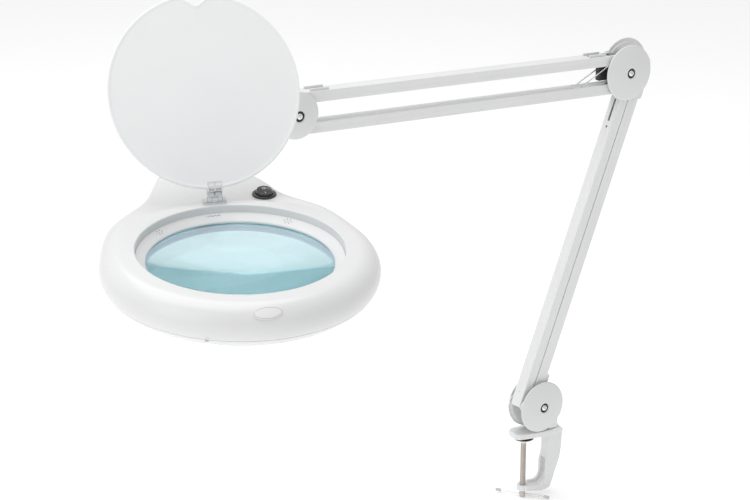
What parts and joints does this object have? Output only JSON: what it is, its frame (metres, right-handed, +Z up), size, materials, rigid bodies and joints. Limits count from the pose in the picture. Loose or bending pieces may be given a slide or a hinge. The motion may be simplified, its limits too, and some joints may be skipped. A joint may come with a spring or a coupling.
{
  "type": "magnifying lamp",
  "caption": "Clamp-on magnifying lamp with two parallel-bar spring arms, disc-covered knuckles, a round lens in a ring light head and a flip-up lid.",
  "frame": {"origin": "on the flat underside of the clamp's upper jaw, where it rests on a desk top, in the plane of the arms and 42 mm from the base swivel's axis", "axes": "+Z up; the arms lie in the XZ plane and the head points towards -X and -Y"},
  "size_m": [0.8439, 0.3982, 0.6968],
  "materials": {
    "white_casting": "satin",
    "white_steel": "satin",
    "white_plastic": "satin",
    "lid_plastic": "satin",
    "screw_steel": "satin",
    "bright_metal": "polished",
    "bushing": "matte",
    "black_plastic": "matte",
    "black_gloss": "gloss",
    "pad_rubber": "matte",
    "lens_glass": "clear",
    "diffuser_plastic": "frosted",
    "board": "matte",
    "led_yellow": "gloss",
    "badge_metal": "satin"
  },
  "bodies": {
    "clamp": {"clamp_frame": "white_casting", "swivel_bush": "bushing"},
    "pad": {"pad_cup": "black_plastic", "pad_face": "pad_rubber"},
    "screw": {"clamp_screw": "screw_steel"},
    "tommy": {"tommy_bar": "screw_steel", "tommy_bar_ends": "black_plastic"},
    "base_knuckle": {"base_yoke": "white_casting", "base_pivot_pins": "screw_steel", "base_front_cover": "white_plastic", "base_back_cover": "white_plastic", "base_cover_screws": "bright_metal"},
    "lower_main": {"lower_main_bar": "white_steel", "lower_main_bushes": "bushing", "lower_springs": "screw_steel", "lower_spring_rods": "screw_steel"},
    "lower_guide": {"lower_guide_bar": "white_steel", "lower_guide_bushes": "bushing", "lower_cable_guides": "white_plastic"},
    "elbow": {"elbow_yoke": "white_casting", "elbow_block": "black_plastic", "elbow_pivot_pins": "screw_steel", "elbow_front_cover": "white_plastic", "elbow_back_cover": "white_plastic", "elbow_cover_screws": "bright_metal"},
    "upper_main": {"upper_main_bar": "white_steel", "upper_main_bushes": "bushing", "upper_springs": "screw_steel", "upper_spring_rods": "screw_steel"},
    "upper_guide": {"upper_guide_bar": "white_steel", "upper_guide_bushes": "bushing", "upper_cable_guides": "white_plastic"},
    "head_knuckle": {"head_knuckle_yoke": "white_casting", "head_knuckle_pins": "screw_steel", "head_front_cover": "white_plastic", "head_back_cover": "white_plastic", "head_cover_screws": "bright_metal", "head_bracket": "white_casting"},
    "head_fork": {"head_fork": "white_casting", "fork_washer": "bright_metal", "tilt_bolt": "bright_metal"},
    "tilt_knob": {"tilt_knob": "black_plastic"},
    "head": {"head_upper_shell": "white_plastic", "head_lower_shell": "white_plastic", "shell_screws": "screw_steel", "lens": "lens_glass", "lens_ring": "white_plastic", "led_board": "board", "leds": "led_yellow", "diffuser": "diffuser_plastic", "blank_badge": "badge_metal", "switch_body": "black_gloss", "hinge_base": "white_plastic", "hinge_pin": "screw_steel"},
    "rocker": {"switch_rocker": "black_gloss"},
    "lid": {"lid": "lid_plastic", "lid_hinge_leaf": "lid_plastic"}
  },
  "joints": [
    {"name": "base_swivel", "type": "hinge", "parent": "clamp", "child": "base_knuckle", "pos_m": [0.042, 0, 0], "axis": [0, 0, 1], "range_deg": [-170, 170]},
    {"name": "lower_arm_tilt", "type": "hinge", "parent": "base_knuckle", "child": "lower_main", "pos_m": [-0.0069, 0, 0.0461], "axis": [0, 1, 0], "range_deg": [-75, 0]},
    {"name": "lower_guide_pivot", "type": "hinge", "parent": "base_knuckle", "child": "lower_guide", "pos_m": [0.0122, 0, 0.0592], "axis": [0, 1, 0], "range_deg": [-75, 0]},
    {"name": "elbow_pivot", "type": "hinge", "parent": "lower_main", "child": "elbow", "pos_m": [0.14416, 0, 0.43156], "axis": [0, 1, 0], "range_deg": [0, 75]},
    {"name": "upper_arm_tilt", "type": "hinge", "parent": "elbow", "child": "upper_main", "pos_m": [0.11936, 0, 0.41856], "axis": [0, 1, 0], "range_deg": [-60, 50], "deforming": ["upper_spring_rods"]},
    {"name": "upper_guide_pivot", "type": "hinge", "parent": "elbow", "child": "upper_guide", "pos_m": [0.11936, 0, 0.45256], "axis": [0, 1, 0], "range_deg": [-60, 50]},
    {"name": "head_knuckle_pivot", "type": "hinge", "parent": "upper_main", "child": "head_knuckle", "pos_m": [-0.32216, 0, 0.43907], "axis": [0, 1, 0], "range_deg": [-50, 60]},
    {"name": "head_swivel", "type": "hinge", "parent": "head_knuckle", "child": "head_fork", "pos_m": [-0.45706, 0, 0.41667], "axis": [0, 0, 1], "range_deg": [-180, 35]},
    {"name": "head_tilt", "type": "hinge", "parent": "head_fork", "child": "head", "pos_m": [-0.45706, 0, 0.41667], "axis": [0.9548, -0.2974, 0], "range_deg": [-12, 80]},
    {"name": "tilt_knob_turn", "type": "hinge", "parent": "head_fork", "child": "tilt_knob", "pos_m": [-0.45706, 0, 0.41667], "axis": [0.9548, -0.2974, 0], "range_deg": [-360, 360]},
    {"name": "lid_hinge", "type": "hinge", "parent": "head", "child": "lid", "pos_m": [-0.49929, -0.13558, 0.42715], "axis": [0.9548, -0.2974, 0], "range_deg": [0, 118]},
    {"name": "switch_rock", "type": "hinge", "parent": "head", "child": "rocker", "pos_m": [-0.44283, -0.13587, 0.42334], "axis": [0.9548, -0.2974, 0], "range_deg": [-20, 0]},
    {"name": "screw_turn", "type": "hinge", "parent": "pad", "child": "screw", "pos_m": [0.00487, 0.00522, 0], "axis": [0, 0, 1], "range_deg": [-12000, 0]},
    {"name": "pad_travel", "type": "slide", "parent": "clamp", "child": "pad", "axis": [0, 0, 1], "range_m": [-0.05, 0]},
    {"name": "tommy_slide", "type": "slide", "parent": "screw", "child": "tommy", "axis": [0.5736, -0.8192, 0], "range_m": [-0.022, 0.022]}
  ],
  "couplings": [
    {"joint": "lower_guide_pivot", "follows": "lower_arm_tilt", "ratio": 1},
    {"joint": "elbow_pivot", "follows": "lower_arm_tilt", "ratio": -1},
    {"joint": "upper_guide_pivot", "follows": "upper_arm_tilt", "ratio": 1},
    {"joint": "head_knuckle_pivot", "follows": "upper_arm_tilt", "ratio": -1},
    {"joint": "pad_travel", "follows": "screw_turn", "m_per_rad": 0.00023873}
  ]
}
